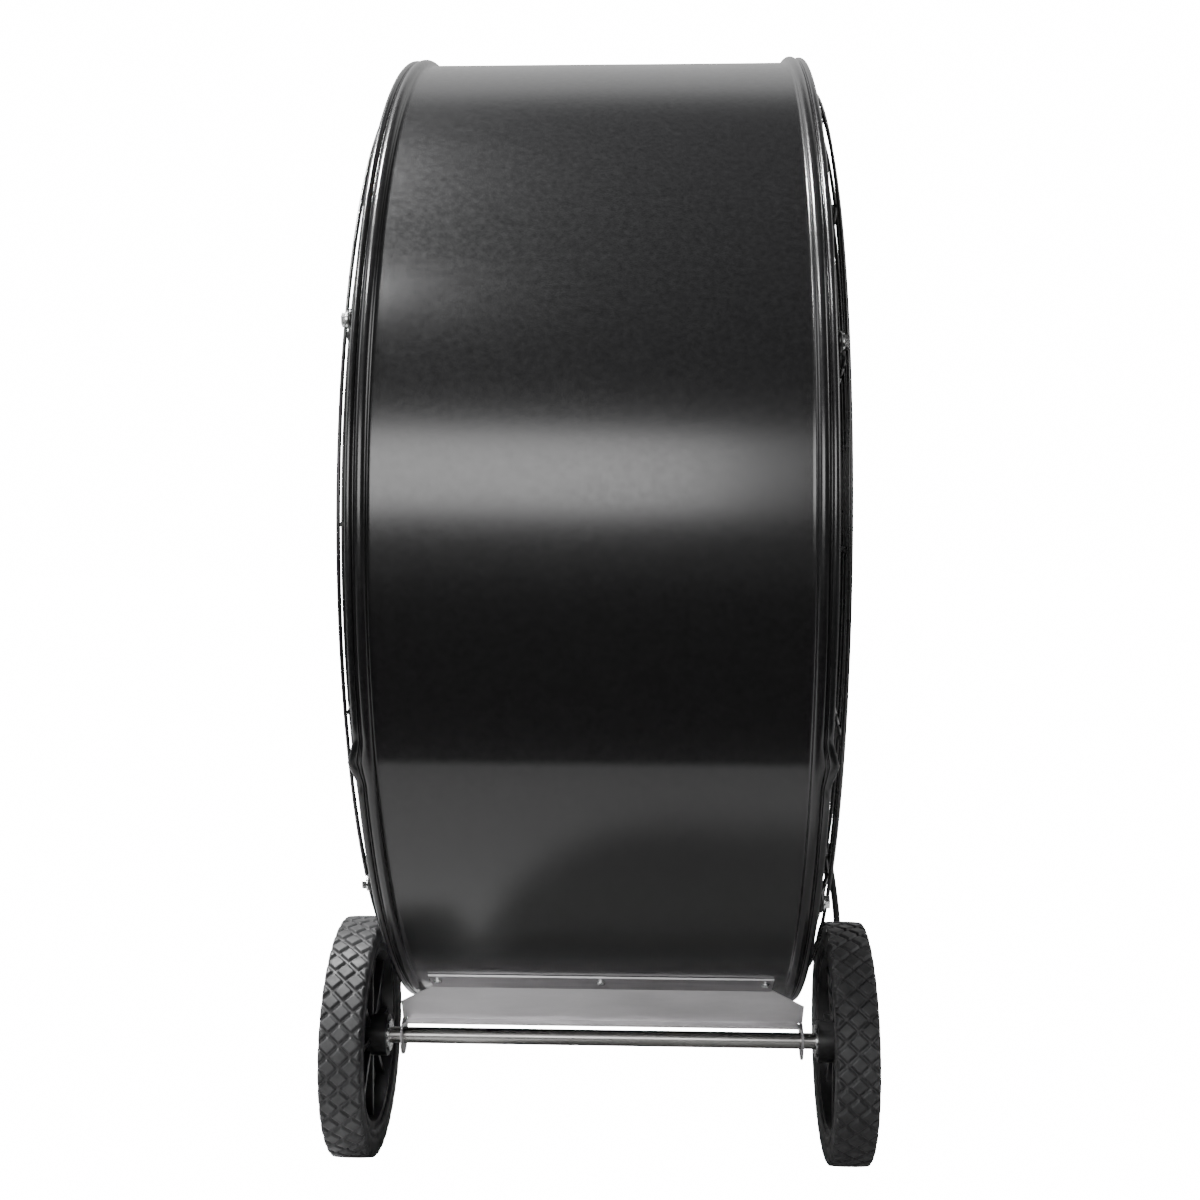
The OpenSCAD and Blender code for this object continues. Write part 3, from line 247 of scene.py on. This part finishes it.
def revolved(profile, steps, mid, centre, shift):
    """Turns a closed profile of (x, radius) about an axis along X through centre, a (y, z) place.

    mid is added to every x, and shift(x, r, a) says how far a point moves in x and in radius.
    """
    verts, faces = [], []
    n = len(profile)
    for i in range(steps):
        a = 2 * math.pi * i / steps
        for x, r in profile:
            dx, dr = shift(x, r, a)
            out = r + dr
            verts.append((mid + x + dx, centre[0] + out * math.cos(a), centre[1] + out * math.sin(a)))
    for i in range(steps):
        j = (i + 1) % steps
        for k in range(n):
            m = (k + 1) % n
            faces.append((i * n + k, i * n + m, j * n + m, j * n + k))
    return verts, faces


def bevelled(obj, width):
    """Rounds the sharp edges of a model node as it is drawn; its own mesh stays as it is."""
    mod = obj.modifiers.new("edge", "BEVEL")
    mod.width = width * MM
    mod.segments = 2
    mod.limit_method = "ANGLE"
    mod.angle_limit = math.radians(35)
    mod.harden_normals = True


# Width of the rounding of each node, in millimetres
EDGES = {"axle_bracket": 0.3, "axle_caps": 0.8, "wheel_left": 0.6, "wheel_right": 0.6, "axle_washers": 0.3,
         "guard_plates": 0.4, "switch_box_body": 0.8, "cord_plug": 0.8, "motor_box": 0.6, "stand_feet": 0.8}
for edge_name, edge_width in EDGES.items():
    bevelled(nodes[edge_name], edge_width)


# ---------------------------------------------------------------- power cord

def catmull(points, per_span):
    """A smooth line through the points, with per_span steps between each two."""
    out = []
    last = len(points) - 1
    for i in range(last):
        a, b = Vector(points[max(i - 1, 0)]), Vector(points[i])
        c, d = Vector(points[i + 1]), Vector(points[min(i + 2, last)])
        for k in range(per_span):
            t = k / per_span
            out.append(0.5 * (2 * b + (c - a) * t + (2 * a - 5 * b + 4 * c - d) * t ** 2
                              + (3 * b - a - 3 * c + d) * t ** 3))
    out.append(Vector(points[last]))
    return out


def stepped(t, steps):
    """A value that eases by each step's amount between its start and end."""
    total = 0.0
    for start, end, amount in steps:
        u = min(max((t - start) / (end - start), 0.0), 1.0)
        total += amount * u * u * (3 - 2 * u)
    return total


COIL_X, COIL_Y = 225.0, 544.75
COIL_TURNS = 5.25
COIL_R, COIL_Z = 59, 4.5                # middle of the cord on the coil's first ring
TURN_STEPS, ROUTE_STEPS, TAIL_STEPS = 48, 6, 3
# Where the coil changes ring and layer: start and end in turns, and the change
RING_CHANGES = [(0.8, 1.0, -9), (1.8, 2.0, -9), (3.5, 3.7, 9), (4.5, 4.7, 9)]
LAYER_CHANGES = [(2.7, 2.9, 9)]
# The cord's points, y from the fan axis and z from the floor
ROUTE = [
    (182, 165, 375), (192, 165, 375), (204, 165, 375), (218, 165, 374), (231, 165, 371),
    (245, 165, 364), (258, 164, 353), (269, 163, 338), (277, 162, 318), (283, 160, 290),
    (289, 158, 257), (296, 156, 215), (301, 154, 175), (303, 153, 135), (303, 154, 98),
    (302, 158, 66), (301, 168, 38), (300, 186, 17), (300, 212, 6), (300, 245, 4.5),
    (304, 300, 4.5), (310, 360, 4.5), (316, 420, 4.5), (321, 480, 4.5), (323, 530, 4.5),
    (318, 575, 4.5), (304, 612, 4.5), (282, 640, 4.5), (254, 655, 4.5), (225, 659, 4.5)]
TAIL = [(166, 600, 13.5), (166, 588, 13.5), (166, 576, 13.5), (165, 564, 13.5), (164, 550, 13.5)]


def coil_point(t):
    """Three rings inwards on the floor, then outwards on top of them."""
    r = COIL_R + stepped(t, RING_CHANGES)
    z = COIL_Z + stepped(t, LAYER_CHANGES)
    a = math.radians(90 + 360 * t)
    return Vector((COIL_X + r * math.cos(a), COIL_Y + r * math.sin(a), z))


def power_cord():
    """The cord from the motor's gland to the floor, its coil and its tail, as one round curve."""
    shift = Vector((0, DRUM_Y, 0))
    path = [p + shift for p in catmull(ROUTE, ROUTE_STEPS)][:-1]
    count = int(COIL_TURNS * TURN_STEPS)
    path += [coil_point(COIL_TURNS * k / count) for k in range(count)]
    path += [p + shift for p in catmull(TAIL, TAIL_STEPS)]
    data = bpy.data.curves.new("power_cord_run", "CURVE")
    data.dimensions = "3D"
    data.bevel_depth = CORD_D / 2 * MM
    data.bevel_resolution = 5
    data.use_fill_caps = True
    line = data.splines.new("POLY")
    line.points.add(len(path) - 1)
    for point, place in zip(line.points, path):
        point.co = (*(place * MM), 1)
    line.use_smooth = True
    obj = bpy.data.objects.new("power_cord_run", data)
    bpy.context.scene.collection.objects.link(obj)
    dress(obj, "cord_jacket")
    finish_piece(obj, "fan_frame", "cord_jacket", "power_cord", "cord_coil")
    length = sum((b - a).length for a, b in zip(path, path[1:])) * MM
    return obj, path[0] * MM, length


# The strap, from the coil's middle outwards and from the floor up
TIE_IN, TIE_OUT, TIE_FOOT, TIE_TOP = 36.2, 63.8, 0.05, 18.4
TIE_CORNER, TIE_T, TIE_W = 4.0, 0.9, 12.0
TIE_ANGLE = math.radians(-50)


def cord_tie():
    """A hook-and-loop strap closed round one side of the coil."""
    inner, outer = TIE_IN + TIE_CORNER, TIE_OUT - TIE_CORNER
    foot, top = TIE_FOOT + TIE_CORNER, TIE_TOP - TIE_CORNER
    outline = []
    for cx, cz, start in ((outer, foot, -90), (outer, top, 0), (inner, top, 90), (inner, foot, 180)):
        for k in range(7):
            a = math.radians(start + 15 * k)
            outline.append((cx + TIE_CORNER * math.cos(a), cz + TIE_CORNER * math.sin(a),
                            math.cos(a), math.sin(a)))
    verts, faces = [], []
    out = (math.cos(TIE_ANGLE), math.sin(TIE_ANGLE))
    along = (-math.sin(TIE_ANGLE), math.cos(TIE_ANGLE))
    for r, z, nr, nz in outline:
        for depth, side in ((0, -1), (0, 1), (TIE_T, 1), (TIE_T, -1)):
            rr, zz = r - nr * depth, z - nz * depth
            across = side * TIE_W / 2
            verts.append((COIL_X + rr * out[0] + across * along[0],
                          COIL_Y + rr * out[1] + across * along[1], zz))
    n = len(outline)
    for i in range(n):
        j = (i + 1) % n
        for k in range(4):
            m = (k + 1) % 4
            faces.append((4 * i + k, 4 * i + m, 4 * j + m, 4 * j + k))
    obj = mesh_object("cord_tie", verts, faces, "soft_rubber")
    finish_piece(obj, "fan_frame", "soft_rubber")
    return obj


run, run_exit, run_length = power_cord()
tie = cord_tie()


# ---------------------------------------------------------------- drum

DRUM_STEPS = 720
WALL_STEP, WALL_POINTS = 16.0, 12
CREST_FOOT = -0.1                       # least sine of an arc over a bead
BEAD = (202, 550.6, 5.7, 5.4)           # middle x and radius, half width and rise
LIP = (212, 551.7, 3.5, 3.2)
OUTER_FACE_R = 548.2                    # the wall's outer face lies past this radius
WAVE_DEPTH, WAVE_MEAN, WAVE_ALONG, WAVE_ROUND = 0.22, 0.6, 0.006, 3.1
WAVE_END, WAVE_FADE = 195, 30           # where the hollows end, and the run in which they fade
RIDGE_END, RIDGE_FADE = 204, 12         # the same for the seam's ridge
SEAM_RISE, SEAM_FADE = 1.25, 34
TONGUE_OUT, TONGUE_ARC = 6.5, 23
PINCH, PINCH_ARC, PINCH_W = 1.5, 22, 8
RIM_X, RIM_RUN = 203, 10                # where a rim starts, and where its pull is full


def crest(shape, start, step, count):
    """Points of an arc over a bead, outwards from the angle start, in degrees."""
    x, r, half_width, rise = shape
    points = []
    for k in range(count):
        a = math.radians(start - step * k)
        points.append((x + half_width * math.cos(a), r + rise * max(math.sin(a), CREST_FOOT)))
    return points


def drum_profile():
    """Outer wall, beads and lips, then the inner wall back again."""
    half = [(WALL_STEP * k, DRUM_R) for k in range(1, WALL_POINTS + 1)]
    half += [(192.6, DRUM_R), (194.4, 549.7), (195.8, 550.2)]
    half += crest(BEAD, 160, 11, 13)
    half += [(208.0, 552.3), (208.9, 552.4)]
    half += crest(LIP, 150, 19, 9)
    half += [(DRUM_HALF, 549.6), (215.1, 548.3), (214.4, DRUM_INNER_R)]
    half += [(x, DRUM_INNER_R) for x in (207, 196, 150, 75)]
    left = [(-x, r) for x, r in reversed(half)]
    return left + [(0, DRUM_R)] + half + [(0, DRUM_INNER_R)]


def drum_shift(x, r, a):
    """Shallow hollows of a rolled sheet, the ridge of the lap seam, and its pinch in both rims."""
    wall = min(max((WAVE_END - abs(x)) / WAVE_FADE, 0.0), 1.0)
    place = Vector((x * WAVE_ALONG, WAVE_ROUND * math.cos(a), WAVE_ROUND * math.sin(a)))
    dr = -WAVE_DEPTH * wall * (WAVE_MEAN + noise.noise(place))
    from_seam = (a - SEAM + math.pi) % (2 * math.pi) - math.pi
    arc = abs(from_seam) * DRUM_R
    inside = min(max((RIDGE_END - abs(x)) / RIDGE_FADE, 0.0), 1.0)
    dr += SEAM_RISE * math.exp(-arc / SEAM_FADE) * inside
    dx = 0.0
    if abs(x) > RIM_X and r > OUTER_FACE_R:
        pull = min((abs(x) - RIM_X) / RIM_RUN, 1.0)
        tongue = max(1 - arc / TONGUE_ARC, 0.0)
        dx = math.copysign(TONGUE_OUT * pull * tongue, x)
        dr -= PINCH * pull * math.exp(-((arc - PINCH_ARC) / PINCH_W) ** 2)
    return dx, dr


verts, faces = revolved(drum_profile(), DRUM_STEPS, 0, (DRUM_Y, DRUM_Z), drum_shift)
drum = mesh_object("drum_wall", verts, faces, "drum_paint")
finish_piece(drum, "fan_frame", "drum_paint", "drum_shell")


# ---------------------------------------------------------------- tyres

TREAD_CELLS, CELL_STEPS, CELL_START = 36, 20, 0.25
TREAD_HALF_PITCH = 11.8
TREAD_DEPTH = 2.8
GROOVE, GROOVE_FLOOR, GROOVE_WALL = 1.7, 0.75, 0.6      # its size, and shares of it
TREAD_HALF, TREAD_POINTS = 19.6, 53
CROWN = 0.0021                          # fall of the tread for each square millimetre from its middle
SHOULDER_X, SHOULDER_DEPTH = 20.9, 0.6  # past this x the grooves have this share of their depth
GROOVED_X, GROOVED_R = 22.05, 121.5     # the grooves end here
RIM_SEAT_R = 98.1
# From the tread over the shoulder, down the wall and its moulded ring to the rim
SHOULDER = [
    (19.9, WHEEL_R - CROWN * TREAD_HALF ** 2 - 0.2), (20.8, 125.2), (21.5, 123.9), (22.0, 122.0),
    (TYRE_HALF, 119.6), (TYRE_HALF, 113), (22.0, 108.5), (21.2, 107.2), (21.2, 105.6), (22.0, 104.4),
    (21.7, 101.2), (20.6, 99.2), (19.2, RIM_SEAT_R)]


def tread_depth(x, arc_cells):
    """Depth of the grooves of a diamond lattice at x across the tread."""
    v = x / (2 * TREAD_HALF_PITCH)
    cell = 2 * math.pi * WHEEL_R / TREAD_CELLS
    slope = math.hypot(1 / cell, 1 / (2 * TREAD_HALF_PITCH))
    gap = min(abs((arc_cells + s * v + 0.5) % 1 - 0.5) for s in (-1, 1)) / slope
    u = min(max((gap - GROOVE * GROOVE_FLOOR) / (GROOVE * GROOVE_WALL), 0.0), 1.0)
    return TREAD_DEPTH * (1 - u * u * (3 - 2 * u))


def tread_shift(x, r, a):
    """Sinks the grooves into the tread and its shoulders."""
    if abs(x) > GROOVED_X or r <= GROOVED_R:
        return 0.0, 0.0
    share = 1 if abs(x) < SHOULDER_X else SHOULDER_DEPTH
    return 0.0, -tread_depth(x, TREAD_CELLS * a / (2 * math.pi) + CELL_START) * share


def tyre(name, side, node, body):
    """A tyre with its tread, for the wheel on one side of the fan."""
    last = TREAD_POINTS - 1
    tread = [-TREAD_HALF + 2 * TREAD_HALF * k / last for k in range(TREAD_POINTS)]
    section = [(x, WHEEL_R - CROWN * x * x) for x in tread] + SHOULDER + [(0, RIM_SEAT_R)]
    section += [(-x, r) for x, r in reversed(SHOULDER)]
    mid = side * (TYRE_IN + TYRE_HALF)
    verts, faces = revolved(section, TREAD_CELLS * CELL_STEPS, mid, (AXLE_Y, AXLE_Z), tread_shift)
    obj = mesh_object(name, verts, faces, "tyre_rubber")
    finish_piece(obj, body, "tyre_rubber", node)


tyre("tread_left", -1, "tyre_left", "left_wheel")
tyre("tread_right", 1, "tyre_right", "right_wheel")


# ---------------------------------------------------------------- floor, light

WHITE = (1.0, 1.0, 1.0)
SEEN_STRENGTH = 16.0                    # what the camera sees of the floor and the background
ROOM, BACKDROP = (0.05, 0.05, 0.05), WHITE
# The backdrop fades in between these parts of a direction's Y, and out between these of its Z
BACKDROP_SIDE, BACKDROP_TOP = (0.25, 0.55), (0.80, 0.92)
FLOOR, SEEN_FLOOR = (40, 40), (400, 400)        # metres
FLAG, FLAG_PLACE = (5.0, 3.2), (0, -2.49, 0.01)
# name, place, what it points at, size in metres and power in watts
LIGHTS = [
    ("front", (-0.86, -3.6, 1.44), (-0.08, -0.6, 0.78), (2.45, 1.05), 78),
    ("upper", (-1.15, -1.82, 3.06), (-0.2, -0.56, 0.9), (0.62, 0.18), 58),
    ("top", (-1.28, -0.34, 3.4), (-0.3, -0.48, 1.0), (0.42, 0.18), 330),
    ("side_left", (-3.0, -0.5, 1.9), (-0.2, -0.5, 0.95), (1.2, 1.8), 26),
    ("side_right", (3.1, -0.5, 1.9), (0.2, -0.5, 0.95), (1.2, 1.8), 44)]


def plane(name, size, place):
    """A flat stage piece, its size in metres."""
    mesh = bpy.data.meshes.new(name)
    w, d = size[0] / 2, size[1] / 2
    mesh.from_pydata([(-w, -d, 0), (w, -d, 0), (w, d, 0), (-w, d, 0)], [], [(0, 1, 2, 3)])
    obj = bpy.data.objects.new(name, mesh)
    obj.location = place
    bpy.context.scene.collection.objects.link(obj)
    return obj


def matt(obj, name, grey, rough, specular):
    """Gives a stage piece a plain matt grey and returns its shader."""
    mat, _, shader = new_material(name)
    shader.inputs["Base Color"].default_value = (grey, grey, grey, 1)
    shader.inputs["Roughness"].default_value = rough
    shader.inputs["Specular IOR Level"].default_value = specular
    obj.data.materials.append(mat)
    return shader


def make_floor():
    """A floor that light and reflections meet, and the pale one that the camera sees."""
    floor = plane("floor", FLOOR, (0, 0, 0))
    matt(floor, "floor_pale", 0.40, 0.9, 0.1)
    floor.visible_camera = False
    seen = plane("floor_seen", SEEN_FLOOR, (0, 0, 0))
    shader = matt(seen, "floor_seen_pale", 0.9, 1.0, 0.0)
    shader.inputs["Emission Color"].default_value = (*WHITE, 1)
    shader.inputs["Emission Strength"].default_value = SEEN_STRENGTH
    for sight in ("diffuse", "glossy", "transmission", "shadow"):
        setattr(seen, "visible_" + sight, False)


def make_flag():
    """A black card on the floor in front, seen only in reflections, as a studio uses on gloss black."""
    card = plane("flag", FLAG, FLAG_PLACE)
    matt(card, "flag_black", 0.01, 1.0, 0.0)
    card.visible_camera = False


def area(name, place, aim, size, power):
    """A soft rectangular light."""
    data = bpy.data.lights.new(name, "AREA")
    data.shape = "RECTANGLE"
    data.size, data.size_y = size
    data.energy = power
    obj = bpy.data.objects.new(name, data)
    obj.location = place
    obj.rotation_mode = "QUATERNION"
    obj.rotation_quaternion = (Vector(aim) - Vector(place)).to_track_quat("-Z", "Y")
    bpy.context.scene.collection.objects.link(obj)


def make_world():
    """White to the camera; a bright backdrop behind and a dim room in reflections."""
    world = bpy.data.worlds.new("studio")
    bpy.context.scene.world = world
    world.use_nodes = True
    tree = world.node_tree
    tree.nodes.clear()
    coords = tree.nodes.new("ShaderNodeTexCoord")
    split = tree.nodes.new("ShaderNodeSeparateXYZ")
    tree.links.new(coords.outputs["Generated"], split.inputs[0])
    behind = ranged(tree, split.outputs["Y"], 0, 1, *BACKDROP_SIDE)
    below_top = ranged(tree, split.outputs["Z"], 1, 0, *BACKDROP_TOP)
    both = tree.nodes.new("ShaderNodeMath")
    both.operation = "MULTIPLY"
    tree.links.new(behind, both.inputs[0])
    tree.links.new(below_top, both.inputs[1])
    room = mixed(tree, both.outputs[0], ROOM, BACKDROP)
    lit = tree.nodes.new("ShaderNodeBackground")
    tree.links.new(room, lit.inputs["Color"])
    seen = tree.nodes.new("ShaderNodeBackground")
    seen.inputs["Color"].default_value = (*WHITE, 1)
    seen.inputs["Strength"].default_value = SEEN_STRENGTH
    path = tree.nodes.new("ShaderNodeLightPath")
    mix = tree.nodes.new("ShaderNodeMixShader")
    tree.links.new(path.outputs["Is Camera Ray"], mix.inputs[0])
    tree.links.new(lit.outputs[0], mix.inputs[1])
    tree.links.new(seen.outputs[0], mix.inputs[2])
    out = tree.nodes.new("ShaderNodeOutputWorld")
    tree.links.new(mix.outputs[0], out.inputs["Surface"])


make_floor()
make_flag()
make_world()
for light in LIGHTS:
    area(*light)
